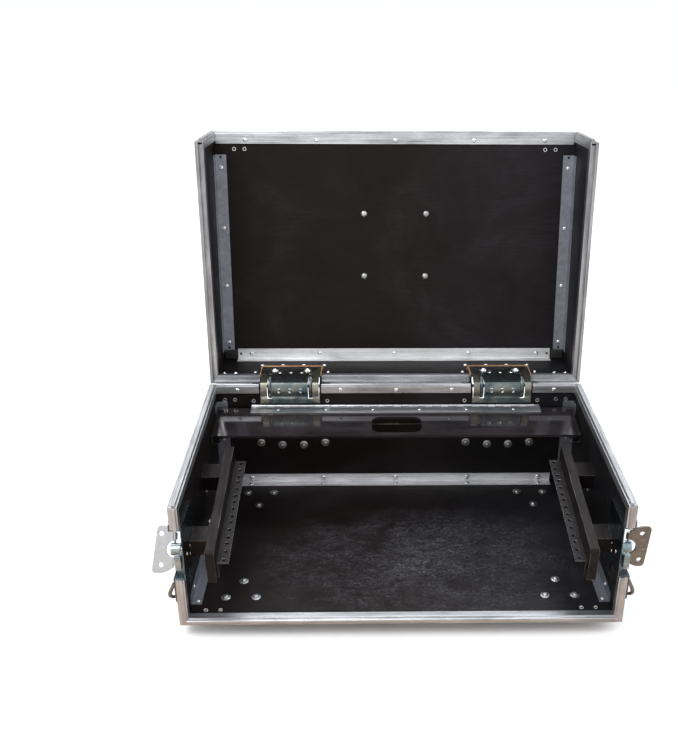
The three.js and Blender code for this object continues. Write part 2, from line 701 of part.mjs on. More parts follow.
// Angle under the lid panel along a side wall.
function lidSideAngle() {
  const x = IN_X - GAP;
  const y0 = 32;
  const y1 = 346;
  const t = WALL + GAP;
  const band = (x0, x1, d0, d1) => prismX(outline([[y0, lidUnder(y0, d1)], [y1, lidUnder(y1, d1)],
    [y1, lidUnder(y1, d0)], [y0, lidUnder(y0, d0)]]), x0, x1);
  return join(band(x - SIDE_LEG, x, t, t + ANGLE_T), band(x - ANGLE_T, x, t, t + SIDE_LEG));
}

function lidRearAngle() {
  const y = IN_Y - GAP;
  const t = WALL + GAP + 0.2;
  const top = lidUnder(y, t);
  const section = outline([[y, top], [y - SIDE_LEG, lidUnder(y - SIDE_LEG, t)],
    [y - SIDE_LEG, lidUnder(y - SIDE_LEG, t + ANGLE_T)], [y - ANGLE_T, top - ANGLE_T],
    [y - ANGLE_T, top - 15], [y, top - 15]]);
  return prismX(section, -262, 262);
}

// ---------------------------------------------------------------- latches
// Right-hand latch; the left one is its mirror image.
function latchDish() {
  const x0 = PAN_FLOOR - 0.5;
  const x1 = HALF + GAP + SKIN;
  const front = 0.3;
  const rear = PAN_REAR + SKIN;
  const step = LATCH_BOTTOM + GAP;
  const shell = join(
    box(x0, x1, front, rear, step, PAN_TOP + SKIN),
    box(x0, x1, PAN_STEP_Y - SKIN, rear, PAN_LOW - SKIN, PAN_TOP),
  );
  const hollow = join(
    box(x0 + SKIN, x1 + 9, -5, PAN_REAR, step + SKIN, PAN_TOP),
    box(x0 + SKIN, x1 + 9, PAN_STEP_Y, PAN_REAR, PAN_LOW, PAN_TOP),
  );
  const plate = rounded(0.3, PAN_REAR + 14, PAN_LOW - 14, PAN_TOP + 12, 6);
  const rim = prismX(plate, HALF + GAP, x1, 4);
  return cut(join(shell, rim), hollow);
}

// Spindle on the X axis through its own origin, with the cross pin that carries the wing.
function spindle() {
  return join(
    rodX(4.6, PAN_FLOOR + 1.3, 291, 0, 0, 16),
    rodX(8, 290.5, 303, 0, 0, 20),
    rodZ(1.5, -22, 22, WING_X, 0, 10),
  );
}

// The raised wing: a plate at right angles to the case side, notched round the spindle head, with its
// inner corners cut off and its outer edge on a slant: one end reaches out less than the other.
function wing(low, high) {
  const corners = [[-9, -23], [0.5, -23], [13, -WING_HALF], [low, -WING_HALF],
    [high, WING_HALF], [13, WING_HALF], [0.5, 23], [-9, 23]];
  const plate = softened(corners.map(([x, z]) => [WING_X + x, z]), 6.5);
  plate.holes.push(circleHole(WING_X + 18, 20.5, 3.4), circleHole(WING_X + 18, -20.5, 3.4));
  const body = prismY(plate, -1.25, 1.25, 6);
  const trim = box(WING_X - 10, WING_X + 0.5, -5, 5, -40, 40);
  const notch = new THREE.CylinderGeometry(11.5, 11.5, 9, 24);
  notch.translate(WING_X, 0, 0);
  const tubes = [[12.5, 21.5], [-21.5, -12.5]].map(([z0, z1]) => rodZ(3, z0, z1, WING_X, 0, 14));
  const bore = rodZ(1.9, -40, 40, WING_X, 0, 12);
  return cut(join(cut(body, trim, notch), ...tubes), bore);
}

// Sliding hook: a slotted plate beside the spindle with a claw that clears the front edge.
function hook() {
  const plate = prismX(outline([[-2, -9], [52, -9], [52, 9], [-2, 9]]), 284, 287);
  const slot = box(283, 288, 17, 44, -5.4, 5.4);
  const claw = prismX(outline([[-6, -7], [0, -7], [0, 14], [-6, 14]]), 284, 291.5);
  return cut(join(plate, claw), slot).translate(0, 0, SPINDLE_Z);
}

// ---------------------------------------------------------------- feet
function foot() {
  const h = FOOT_H + PANEL_OUT - GAP;
  const profile = [[0, 0], [FOOT_R - 3, 0], [FOOT_R - 2, 1], [FOOT_R, h - 2], [FOOT_R, h], [0, h]]
    .map(([r, z]) => new THREE.Vector2(r, z));
  return new THREE.LatheGeometry(profile, 28).rotateX(Math.PI / 2);
}

// ---------------------------------------------------------------- scene
const model = new THREE.Group();
model.position.set(0, -CENTRE_Y, FOOT_H);

function add(group, name, geometry, material) {
  const mesh = new THREE.Mesh(geometry, material);
  mesh.name = name;
  group.add(mesh);
  return mesh;
}

function addPair(group, name, geometry, material) {
  add(group, `${name}_right`, geometry, material);
  add(group, `${name}_left`, mirrored(geometry), material);
}

function addAt(group, name, geometry, material, x) {
  add(group, name, geometry, material).position.set(x, 0, 0);
}

const base = new THREE.Group();
model.add(base);
add(base, 'base_floor', baseFloor(), PLY);
addPair(base, 'base_wall', baseSideWall(), PLY);
add(base, 'base_wall_rear', baseRearWall(), PLY);
add(base, 'base_sill_rim', baseSillRim(), ALUMINIUM);
addPair(base, 'base_rim', baseSideRim(), ALUMINIUM);
addPair(base, 'base_lower_rim', baseLowerFrontRim(), ALUMINIUM);
for (const [side, span] of Object.entries(REAR_SPANS)) {
  add(base, `base_rear_rim_${side}`, baseRearRim(span), ALUMINIUM);
}
add(base, 'base_edge_angles', baseEdgeAngles(), ALUMINIUM);
addPair(base, 'floor_angle', floorSideAngle(), ALUMINIUM);
add(base, 'floor_angle_rear', floorRearAngle(), ALUMINIUM);
addPair(base, 'corner_angle', cornerAngle(), ALUMINIUM);
addPair(base, 'rack_rail', rackRail(), STEEL);
addPair(base, 'rail_batten', railBatten(), PAINTED);
add(base, 'flap_support_rear', rearSupport(), PAINTED);
addPair(base, 'flap_cleat', sideCleat(), PAINTED);
add(base, 'flap_hinge_fixed', fixedHingeLeaf(), ALUMINIUM);
addAt(base, 'hinge_dish_right', baseHingeDish(), ZINC, DISH_X);
addAt(base, 'hinge_dish_left', baseHingeDish(), ZINC, -DISH_X);
addPair(base, 'latch_dish', latchDish(), ZINC);
for (const [row, y] of Object.entries({ front: FOOT_Y[0], rear: FOOT_Y[1] })) {
  for (const [side, x] of Object.entries({ left: -FOOT_X, right: FOOT_X })) {
    add(base, `foot_${row}_${side}`, foot(), RUBBER).position.set(x, y, -FOOT_H);
  }
}

const flap = new THREE.Group();
model.add(flap);
add(flap, 'cable_flap', cableFlap(), GLOSS);
add(flap, 'flap_hinge_leaf', flapHingeLeaf(), ALUMINIUM);

// The lid is drawn closed and swung back about its pivot.
const lid = new THREE.Group();
lid.position.set(0, HINGE_Y, HINGE_Z);
lid.rotation.x = -rad(OPEN_ANGLE);
model.add(lid);
const closedLid = new THREE.Group();
closedLid.position.set(0, -HINGE_Y, -HINGE_Z);
lid.add(closedLid);
add(closedLid, 'lid_panel', lidPanel(), PLY);
addPair(closedLid, 'lid_wall', lidSideWall(), PLY);
add(closedLid, 'lid_wall_rear', lidRearWall(), PLY);
addPair(closedLid, 'lid_rim', lidSideRim(), ALUMINIUM);
add(closedLid, 'lid_front_rim', lidFrontRim(), ALUMINIUM);
for (const [side, span] of Object.entries(REAR_SPANS)) {
  add(closedLid, `lid_rear_rim_${side}`, lidRearRim(span), ALUMINIUM);
}
add(closedLid, 'lid_edge_angles', lidEdgeAngles(), ALUMINIUM);
addPair(closedLid, 'lid_angle', lidSideAngle(), ALUMINIUM);
add(closedLid, 'lid_angle_rear', lidRearAngle(), ALUMINIUM);
addAt(closedLid, 'lid_hinge_dish_right', lidHingeDish(), ZINC, DISH_X);
addAt(closedLid, 'lid_hinge_dish_left', lidHingeDish(), ZINC, -DISH_X);

// Latches: the turning spindle with its wing, and the hook that the turn slides.
for (const side of ['right', 'left']) {
  const shape = side === 'right' ? (geometry) => geometry : mirrored;
  const turn = side === 'right' ? 0 : LEFT_TURN;
  const latch = new THREE.Group();
  latch.position.set(0, SPINDLE_Y, SPINDLE_Z);
  latch.rotation.x = -rad(turn);
  model.add(latch);
  add(latch, `latch_spindle_${side}`, shape(spindle()), ZINC);
  add(latch, `latch_wing_${side}`, shape(wing(...WING_REACHES[side])), ZINC);
  const slide = add(model, `latch_hook_${side}`, shape(hook()), ZINC);
  slide.position.y = HOOK_TRAVEL * turn / 180;
}

export default model;
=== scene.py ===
import json
import math

import bmesh
import bpy
from mathutils import Matrix, Vector
from mathutils.bvhtree import BVHTree


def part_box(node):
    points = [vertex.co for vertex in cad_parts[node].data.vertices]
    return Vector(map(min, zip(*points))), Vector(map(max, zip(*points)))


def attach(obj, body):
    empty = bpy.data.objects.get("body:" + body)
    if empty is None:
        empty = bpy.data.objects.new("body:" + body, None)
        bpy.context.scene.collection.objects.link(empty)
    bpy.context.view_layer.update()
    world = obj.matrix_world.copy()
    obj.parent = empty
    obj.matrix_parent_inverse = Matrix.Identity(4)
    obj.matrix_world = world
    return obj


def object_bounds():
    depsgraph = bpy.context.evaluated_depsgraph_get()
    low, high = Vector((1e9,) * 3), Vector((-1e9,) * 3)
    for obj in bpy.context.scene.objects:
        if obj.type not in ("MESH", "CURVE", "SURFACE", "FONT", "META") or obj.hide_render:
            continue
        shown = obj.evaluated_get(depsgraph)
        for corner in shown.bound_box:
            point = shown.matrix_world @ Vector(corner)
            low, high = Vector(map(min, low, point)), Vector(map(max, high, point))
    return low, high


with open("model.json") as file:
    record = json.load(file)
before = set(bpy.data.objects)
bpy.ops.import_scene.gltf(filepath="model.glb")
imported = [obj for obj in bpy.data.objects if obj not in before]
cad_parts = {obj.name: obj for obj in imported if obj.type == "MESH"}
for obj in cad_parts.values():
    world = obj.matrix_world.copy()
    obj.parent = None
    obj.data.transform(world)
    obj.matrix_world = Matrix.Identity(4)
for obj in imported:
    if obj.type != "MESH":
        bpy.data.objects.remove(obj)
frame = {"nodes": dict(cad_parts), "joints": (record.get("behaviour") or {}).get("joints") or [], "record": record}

MM = 0.001
cad_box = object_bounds()
nodes = frame["nodes"]

# ---------------------------------------------------------------- places
# Case coordinates are in mm with the lid closed: x across, y from the open front, z from the underside.
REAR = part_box("base_edge_angles")[1].y
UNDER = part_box("base_edge_angles")[0].z
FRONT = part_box("base_rim_right")[0].y + 4 * MM      # the rim's tongue stands 4 mm proud
DEPTH = (REAR - FRONT) / MM
LID_Z = 184.0           # rim plane of the lid
LID_BACK = 107          # the lid's depth at its rear and at its front
LID_AHEAD = 135
LID_FALL = LID_AHEAD - LID_BACK
HALF = 295              # half the outside width
OUT = 340               # a start for lines cast from outside a side wall
hinge = next(j for j in frame["joints"] if j["name"] == "lid_hinge")
pivot = Vector(hinge["pos_m"])
CLOSED = Matrix.Translation((0, FRONT, UNDER)) @ Matrix.Scale(MM, 4)
OPENED = (Matrix.Translation(pivot) @ Matrix.Rotation(math.radians(hinge["range_deg"][0]), 4, "X")
          @ Matrix.Translation(-pivot) @ CLOSED)
HINGES = [s * (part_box("hinge_dish_right")[0].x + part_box("hinge_dish_right")[1].x) / 2 / MM for s in (-1, 1)]
UP, DOWN, BACK, AHEAD = Vector((0, 0, 1)), Vector((0, 0, -1)), Vector((0, 1, 0)), Vector((0, -1, 0))
RIGHT, LEFT = Vector((1, 0, 0)), Vector((-1, 0, 0))
SIDES = (("left", -1), ("right", 1))

trees = {}


def surface(node, start, direction, space):
    """Where a line from start meets a CAD node: the point and its normal on the side it came from."""
    if node not in trees:
        mesh = nodes[node].data
        trees[node] = BVHTree.FromPolygons([v.co for v in mesh.vertices], [p.vertices for p in mesh.polygons])
    way = (space.to_3x3() @ direction).normalized()
    point, normal, _, _ = trees[node].ray_cast(space @ Vector(start), way)
    if point is None:
        raise ValueError(f"nothing of {node} at {tuple(start)}")
    return point, (normal if normal.dot(way) < 0 else -normal)


# ---------------------------------------------------------------- materials
def add(nt, kind, into=None, **props):
    n = nt.nodes.new(kind)
    for key, value in props.items():
        setattr(n, key, value)
    for key, value in (into or {}).items():
        if isinstance(value, bpy.types.NodeSocket):
            nt.links.new(value, n.inputs[key])
        else:
            n.inputs[key].default_value = value
    return n


def noise(nt, vector, scale, detail=4, rough=0.55, distortion=0.0):
    return add(nt, "ShaderNodeTexNoise", {"Vector": vector, "Scale": scale, "Detail": detail,
                                          "Roughness": rough, "Distortion": distortion}).outputs["Fac"]


def ramp(nt, value, *stops):
    n = add(nt, "ShaderNodeValToRGB", {"Fac": value})
    while len(n.color_ramp.elements) < len(stops):
        n.color_ramp.elements.new(0.5)
    for e, (at, colour) in zip(n.color_ramp.elements, stops):
        e.position = at
        e.color = (*colour, 1) if hasattr(colour, "__len__") else (colour, colour, colour, 1)
    return n.outputs["Color"]


def mix(nt, factor, a, b, blend="MIX"):
    n = add(nt, "ShaderNodeMix", data_type="RGBA", blend_type=blend)
    for index, value in ((0, factor), (6, a), (7, b)):
        if isinstance(value, bpy.types.NodeSocket):
            nt.links.new(value, n.inputs[index])
        else:
            n.inputs[index].default_value = value if index == 0 else (*value, 1)
    return n.outputs[2]


def coords(nt, stretch=(1, 1, 1), turn=0.0):
    """Object coordinates, turned back about X by an angle in degrees and then stretched."""
    v = add(nt, "ShaderNodeTexCoord").outputs["Object"]
    if turn:
        v = add(nt, "ShaderNodeVectorRotate", {"Vector": v, "Angle": math.radians(turn)},
                rotation_type="X_AXIS").outputs["Vector"]
    return add(nt, "ShaderNodeMapping", {"Vector": v, "Scale": stretch}).outputs["Vector"]


def start(name, **settings):
    m = bpy.data.materials.new(name)
    m.use_nodes = True
    nt = m.node_tree
    shader = nt.nodes["Principled BSDF"]
    for key, value in settings.items():
        shader.inputs[key.replace("_", " ")].default_value = value
    return m, nt, shader


def bump(nt, shader, height, strength, distance):
    n = add(nt, "ShaderNodeBump", {"Height": height, "Strength": strength, "Distance": distance * MM})
    nt.links.new(n.outputs["Normal"], shader.inputs["Normal"])


def stretch_along(axis, across):
    return tuple(1.0 if i == axis else across for i in range(3))


def aluminium(name, axis, turn=0.0, low=(0.22, 0.22, 0.235), high=(0.80, 0.81, 0.83), rough=(0.5, 0.28)):
    """Mill finish extrusion with drawn lines along one axis, cloudy handling marks and small nicks."""
    m, nt, shader = start(name, Metallic=1.0)
    lines = noise(nt, coords(nt, stretch_along(axis, 90), turn), 9, 5, 0.6)
    bands = noise(nt, coords(nt, stretch_along(axis, 22), turn), 7, 3, 0.5)
    cloud = noise(nt, coords(nt, stretch_along(axis, 3), turn), 16, 5, 0.62, 0.4)
    nick = noise(nt, coords(nt, (1, 1, 1)), 420, 3, 0.6)
    tone = mix(nt, 0.5, lines, bands)
    tone = mix(nt, 0.35, tone, cloud)
    base = ramp(nt, tone, (0.36, low), (0.5, tuple((a + b) / 2 for a, b in zip(low, high))), (0.64, high))
    spots = ramp(nt, nick, (0.66, 0.0), (0.72, 1.0))
    nt.links.new(mix(nt, spots, base, tuple(c * 0.45 for c in low)), shader.inputs["Base Color"])
    nt.links.new(ramp(nt, tone, (0.35, rough[0]), (0.65, rough[1])), shader.inputs["Roughness"])
    bump(nt, shader, lines, 0.25, 0.12)
    return m


def ply(name, turn=0.0, scuffed=False):
    """Film-faced plywood: a fine drawn grain under a dark film, with rubs on the floor, and a painted reflection
    that turns the film brown on the left and slate on the right.
    """
    m, nt, shader = start(name, Specular_IOR_Level=0.17, Specular_Tint=(1.0, 0.87, 0.84, 1))
    grain = noise(nt, coords(nt, (1, 26, 26), turn), 26, 6, 0.62)
    weave = noise(nt, coords(nt, (30, 220, 220), turn), 8, 3, 0.5)
    cloud = noise(nt, coords(nt, (1, 1.4, 1.4), turn), 7, 7, 0.66, 0.6)
    tone = mix(nt, 0.68, grain, cloud)
    brown = ramp(nt, tone, (0.34, (0.0022, 0.0014, 0.0012)), (0.52, (0.0052, 0.0036, 0.0033)),
                 (0.68, (0.0125, 0.0092, 0.0088)))
    slate = ramp(nt, tone, (0.34, (0.0028, 0.0027, 0.0034)), (0.52, (0.0070, 0.0066, 0.0080)),
                 (0.68, (0.0155, 0.0148, 0.0175)))
    # Brown on the left and slate on the right: a painted reflection of the surroundings.
    side = add(nt, "ShaderNodeSeparateXYZ", {0: coords(nt, (3.2, 1, 1))}).outputs["X"]
    base = mix(nt, ramp(nt, mix(nt, 0.5, ramp(nt, side, (0.0, 0.0), (0.6, 1.0)), cloud),
                        (0.2, 0.0), (0.62, 1.0)), brown, slate)
    rough = ramp(nt, tone, (0.35, 0.56), (0.65, 0.4))
    if scuffed:
        streak = noise(nt, coords(nt, (1, 1.5, 1), turn), 120, 12, 0.85, 1.4)
        patch = noise(nt, coords(nt, (1, 1.5, 1), turn), 15, 7, 0.68, 0.5)
        middle = add(nt, "ShaderNodeVectorMath", {0: coords(nt, (2.9, 5.0, 0)), 1: (0.1, -0.72, 0)},
                     operation="DISTANCE").outputs["Value"]
        where = ramp(nt, middle, (0.0, 1.0), (0.4, 0.7), (0.8, 0.03))
        marks = mix(nt, 1.0, ramp(nt, streak, (0.46, 0.0), (0.54, 0.3), (0.62, 1.0)),
                    ramp(nt, patch, (0.40, 0.12), (0.62, 1.0)), "MULTIPLY")
        marks = mix(nt, 1.0, marks, where, "MULTIPLY")
        base = mix(nt, marks, base, (0.16, 0.16, 0.18))
        haze = mix(nt, 1.0, ramp(nt, patch, (0.35, 0.0), (0.7, 0.3)), where, "MULTIPLY")
        base = mix(nt, haze, base, (0.025, 0.025, 0.031))
        rough = mix(nt, marks, rough, (0.7, 0.7, 0.7))
    nt.links.new(base, shader.inputs["Base Color"])
    nt.links.new(rough, shader.inputs["Roughness"])
    bump(nt, shader, mix(nt, 0.4, grain, weave), 0.35, 0.12)
    return m


def painted_wood(name, worn_and_highlit=False):
    m, nt, shader = start(name, Specular_IOR_Level=0.16, Specular_Tint=(1.0, 0.9, 0.87, 1))
    grain = noise(nt, coords(nt, (38, 1.6, 38), -7.6), 12, 6, 0.62, 0.2)
    cloud = noise(nt, coords(nt), 22, 5, 0.6)
    tone = mix(nt, 0.4, grain, cloud)
    # The paler edge colour is partly rubbed paint and partly a painted highlight along the edges.
    if worn_and_highlit:
        base = ramp(nt, tone, (0.38, (0.03, 0.026, 0.024)), (0.5, (0.12, 0.105, 0.095)),
                    (0.62, (0.42, 0.38, 0.345)))
    else:
        base = ramp(nt, tone, (0.35, (0.0034, 0.0026, 0.0023)), (0.5, (0.0064, 0.0050, 0.0045)),
                    (0.66, (0.015, 0.0122, 0.0112)))
    nt.links.new(base, shader.inputs["Base Color"])
    nt.links.new(ramp(nt, tone, (0.35, 0.5), (0.65, 0.3)), shader.inputs["Roughness"])
    bump(nt, shader, grain, 0.4, 0.25)
    return m


def ply_edge(name):
    """Cut edge of birch plywood: thin tan and brown layers."""
    m, nt, shader = start(name, Roughness=0.6, Specular_IOR_Level=0.4)
    layers = noise(nt, coords(nt, (2, 320, 320), -95), 4, 2, 0.5)
    base = ramp(nt, layers, (0.38, (0.16, 0.075, 0.032)), (0.5, (0.36, 0.21, 0.11)),
                (0.62, (0.52, 0.34, 0.19)))
    nt.links.new(base, shader.inputs["Base Color"])
    bump(nt, shader, layers, 0.3, 0.1)
    return m


def gloss_board(name):
    m, nt, shader = start(name, Specular_IOR_Level=0.6, Coat_Weight=0.6, Coat_Roughness=0.05)
    smear = noise(nt, coords(nt, (1, 2.5, 2.5)), 14, 5, 0.6, 0.6)
    dust = noise(nt, coords(nt), 900, 2, 0.5)
    base = ramp(nt, smear, (0.35, (0.011, 0.009, 0.010)), (0.65, (0.024, 0.020, 0.022)))
    base = mix(nt, ramp(nt, dust, (0.7, 0.0), (0.76, 0.5)), base, (0.12, 0.115, 0.11))
    nt.links.new(base, shader.inputs["Base Color"])
    nt.links.new(ramp(nt, smear, (0.35, 0.07), (0.65, 0.17)), shader.inputs["Roughness"])
    bump(nt, shader, noise(nt, coords(nt), 40, 2, 0.5), 0.04, 0.3)
    return m


def zinc(name, cool, warm, rough=(0.34, 0.16), rubbed=0.5):
    """Passivated zinc plate: the colour drifts between a cool and a straw tint."""
    m, nt, shader = start(name, Metallic=1.0)
    drift = noise(nt, coords(nt), 26, 3, 0.5, 1.2)
    spangle = add(nt, "ShaderNodeTexVoronoi", {"Vector": coords(nt), "Scale": 700.0}).outputs["Color"]
    rub = noise(nt, coords(nt, (1, 1, 6)), 120, 4, 0.6)
    base = ramp(nt, drift, (0.36, cool), (0.5, tuple((a + b) / 2 for a, b in zip(cool, warm))), (0.64, warm))
    base = mix(nt, 0.12, base, spangle, "MULTIPLY")
    base = mix(nt, ramp(nt, rub, (0.5, 0.0), (0.7, rubbed)), base, (0.82, 0.83, 0.84))
    nt.links.new(base, shader.inputs["Base Color"])
    gloss = ramp(nt, mix(nt, 0.5, rub, drift), (0.35, rough[0]), (0.62, rough[1]))
    nt.links.new(gloss, shader.inputs["Roughness"])
    bump(nt, shader, rub, 0.12, 0.1)
    return m


def powder_coat(name):
    m, nt, shader = start(name, Specular_IOR_Level=0.2)
    peel = noise(nt, coords(nt), 900, 3, 0.5)
    cloud = noise(nt, coords(nt), 30, 4, 0.6)
    nt.links.new(ramp(nt, cloud, (0.35, (0.008, 0.0066, 0.0070)), (0.65, (0.019, 0.0158, 0.0168))),
                 shader.inputs["Base Color"])
    nt.links.new(ramp(nt, peel, (0.35, 0.55), (0.65, 0.4)), shader.inputs["Roughness"])
    bump(nt, shader, peel, 0.3, 0.15)
    return m


def rubber(name):
    m, nt, shader = start(name, Specular_IOR_Level=0.35)
    grit = noise(nt, coords(nt), 600, 5, 0.7)
    nt.links.new(ramp(nt, grit, (0.4, (0.010, 0.010, 0.010)), (0.7, (0.028, 0.027, 0.026))),
                 shader.inputs["Base Color"])
    nt.links.new(ramp(nt, grit, (0.4, 0.85), (0.7, 0.65)), shader.inputs["Roughness"])
    bump(nt, shader, grit, 0.3, 0.2)
    return m


TURN = -hinge["range_deg"][0]
SLOPE = math.degrees(math.atan(LID_FALL / DEPTH))
PLAIN = aluminium("aluminium_angle", 0, 0, (0.46, 0.46, 0.47), (0.95, 0.95, 0.96), (0.68, 0.48))
# The side and corner angles take a darker copy of the angle aluminium: painted shade.
ANGLE_METAL_PAINTED_SHADE = aluminium("aluminium_angle_painted_shade", 1, 0, (0.24, 0.25, 0.285), (0.37, 0.385, 0.43), (0.58, 0.44))
METAL = {  # direction of the drawn lines, and its material
    "x": (Vector((1, 0, 0)), aluminium("aluminium_across", 0)),
    "y": (Vector((0, 1, 0)), aluminium("aluminium_deep", 1)),
    "z": (Vector((0, 0, 1)), aluminium("aluminium_upright", 2)),
}
# The lid's extrusions along its depth, height and slope take darker tones than the base's: painted shade.
LID_PAINTED_SHADE_TONES = ((0.17, 0.168, 0.172), (0.54, 0.545, 0.56))
LID_METAL = {
    "x": METAL["x"],
    "y": ((OPENED.to_3x3() @ BACK).normalized(), aluminium("lid_aluminium_deep_painted_shade", 1, TURN, *LID_PAINTED_SHADE_TONES)),
    "z": ((OPENED.to_3x3() @ UP).normalized(), aluminium("lid_aluminium_upright_painted_shade", 2, TURN, *LID_PAINTED_SHADE_TONES)),
    "s": ((OPENED.to_3x3() @ Matrix.Rotation(math.radians(-SLOPE), 3, "X") @ BACK).normalized(),
          aluminium("lid_aluminium_sloped_painted_shade", 1, TURN + SLOPE, *LID_PAINTED_SHADE_TONES)),
}
PLY = ply("film_faced_ply")
FLOOR_PLY = ply("film_faced_ply_scuffed", scuffed=True)
LID_PLY = ply("film_faced_ply_lid", TURN)
PAINTED = painted_wood("black_painted_ply")
EDGE_WEAR_AND_HIGHLIGHT = painted_wood("rubbed_paint_edge_and_highlight", worn_and_highlit=True)
GLOSS = gloss_board("gloss_black_board")
ZINC = zinc("zinc_blue", (0.20, 0.31, 0.38), (0.46, 0.50, 0.47), (0.42, 0.2))
# A darker copy of the zinc for the latch parts: painted shade in the recessed dishes.
LATCH_ZINC_PAINTED_SHADE = zinc("zinc_painted_shade", (0.065, 0.105, 0.15), (0.23, 0.26, 0.27), (0.34, 0.18), 0.15)
HINGE = zinc("zinc_hinge", (0.055, 0.085, 0.10), (0.20, 0.225, 0.205), (0.42, 0.24), 0.12)
ARM = zinc("zinc_hinge_arm", (0.20, 0.20, 0.165), (0.36, 0.34, 0.27), (0.45, 0.28), 0.2)
WING = zinc("zinc_dull", (0.20, 0.185, 0.17), (0.30, 0.27, 0.24), (0.45, 0.25), 0.15)
# A paler copy of the wing zinc for the left wing: painted light.
WING_PAINTED_LIGHT = zinc("zinc_painted_light", (0.40, 0.40, 0.41), (0.50, 0.49, 0.48), (0.45, 0.25), 0.2)
# Dark faces on the bevelled edges of the latch wings: painted shade along their thickness.
EDGE_PAINTED_SHADE = powder_coat("painted_shade_edge")
BRIGHT = zinc("zinc_bright", (0.74, 0.76, 0.78), (0.82, 0.80, 0.76), (0.3, 0.12))
STEEL = powder_coat("dark_grey_powder_coat")
BARE = zinc("bare_steel_edge", (0.26, 0.24, 0.22), (0.42, 0.38, 0.35), (0.5, 0.32), 0.2)
RUBBER = rubber("black_rubber")
BLACK = rubber("black_shadow")
RAW_PLY = ply_edge("raw_ply_edge")
BOLT = zinc("zinc_bolt", (0.36, 0.37, 0.38), (0.56, 0.56, 0.54), (0.5, 0.34), 0.25)
RIVET = zinc("rivet_aluminium", (0.66, 0.67, 0.68), (0.80, 0.79, 0.77), (0.42, 0.2))


# ---------------------------------------------------------------- CAD nodes
def soften(o, width, edge=None):
    """Welds the faces for display and rounds the edges, so that they catch the light."""
    o.data.shade_smooth()
    o.data.set_sharp_from_angle(angle=math.radians(30))
    weld = o.modifiers.new("weld", "WELD")
    weld.merge_threshold = 0.00001
    if not width:
        return
    b = o.modifiers.new("bevel", "BEVEL")
    b.width, b.segments, b.limit_method, b.angle_limit = width * MM, 2, "ANGLE", math.radians(35)
    if edge is not None:
        o.data.materials.append(edge)
        b.material = len(o.data.materials) - 1
    flat = o.modifiers.new("flat_faces", "WEIGHTED_NORMAL")
    flat.weight = 100
    flat.keep_sharp = True


def dress(o, *materials):
    o.data.materials.clear()
    for m in materials:
        o.data.materials.append(m)
    for p in o.data.polygons:
        p.material_index = 0


def drawn(o, metal):
    """Gives each face the material whose lines run along that face."""
    dress(o, *(m for _, m in metal.values()))
    ways = [d for d, _ in metal.values()]
    for p in o.data.polygons:
        pts = [o.data.vertices[i].co for i in p.vertices]
        edges = sorted(((a - b for a, b in zip(pts, pts[1:] + pts[:1]))), key=lambda e: e.length)
        longest = edges[-1].normalized() if edges[-1].length else ways[0]
        p.material_index = max(range(len(ways)), key=lambda i: abs(longest.dot(ways[i])))


slots = {s["node"]: s["material_slot"] for s in frame["record"]["subparts"]}
for name, o in nodes.items():
    kind = slots[name]
    lid = name.startswith("lid_")
    if kind == "plywood":
        dress(o, FLOOR_PLY if name == "base_floor" else LID_PLY if lid else PLY)
        soften(o, 0.3)
    elif kind == "painted_wood":
        dress(o, PAINTED)
        # The bevelled edges take the paler colour: rubbed paint and a painted highlight.
        soften(o, 1.6, EDGE_WEAR_AND_HIGHLIGHT)
    elif kind == "gloss_board":
        dress(o, GLOSS)
        soften(o, 0.5, PAINTED)
    elif "angle_" in name and "edge" not in name:
        # Side and corner angles get the darker copy, painted shade.
        drawn(o, {k: (d, PLAIN if "rear" in name else ANGLE_METAL_PAINTED_SHADE) for k, (d, _) in METAL.items()})
        soften(o, 0.25)
    elif kind == "aluminium":
        drawn(o, LID_METAL if lid else METAL)
        soften(o, 0.25)
    elif kind == "dark_steel":
        dress(o, STEEL)
        soften(o, 0.35, BARE)
    elif kind == "rubber":
        dress(o, RUBBER)
        soften(o, 0.8)
    elif "wing" in name:
        # The left wing takes the paler copy, painted light.
        dress(o, WING_PAINTED_LIGHT if "left" in name else WING)
        # Dark bevel faces on the wings: painted shade.
        soften(o, 0.35, EDGE_PAINTED_SHADE)
    elif "spindle" in name or "hook" in name:
        dress(o, ZINC)
        soften(o, 0.3)
    elif "latch" in name:
        # Latch parts take the darker zinc copy, painted shade.
        dress(o, LATCH_ZINC_PAINTED_SHADE)
        soften(o, 0.2)
    else:
        dress(o, HINGE, ARM)
        soften(o, 0.2)

# The outer arms of each hinge keep a straw tint.
for name in ("hinge_dish_left", "hinge_dish_right", "lid_hinge_dish_left", "lid_hinge_dish_right"):
    o = nodes[name]
    middle = HINGES["right" in name]
    for p in o.data.polygons:
        if 30 < abs(p.center.x / MM - middle) < 46:
            p.material_index = 1


# ---------------------------------------------------------------- fixings
def ring(bm, outline, place, sides, squeeze=1.0):
    """Turns an outline of (radius, height) in mm about Z and places it."""
    rows = []
    for r, h in outline:
        if r == 0:
            rows.append([bm.verts.new(place @ Vector((0, 0, h * MM)))])
        else:
            turns = [2 * math.pi * i / sides for i in range(sides)]
            rows.append([bm.verts.new(place @ (Vector((r * math.cos(a), r * squeeze * math.sin(a), h)) * MM))
                         for a in turns])
    for low, high in zip(rows, rows[1:]):
        for i in range(sides):
            j = (i + 1) % sides
            if len(high) == 1:
                bm.faces.new((low[i], low[j], high[0]))
            elif len(low) > 1:
                bm.faces.new((low[i], low[j], high[j], high[i]))


def piece(name, bm, body, material, smooth=True):
    bm.normal_update()
    mesh = bpy.data.meshes.new(name)
    bm.to_mesh(mesh)
    bm.free()
    if smooth:
        mesh.shade_smooth()
        mesh.set_sharp_from_angle(angle=math.radians(50))
    for m in material if isinstance(material, tuple) else (material,):
        mesh.materials.append(m)
    o = bpy.data.objects.new(name, mesh)
    bpy.context.scene.collection.objects.link(o)
    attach(o, body)
    return o


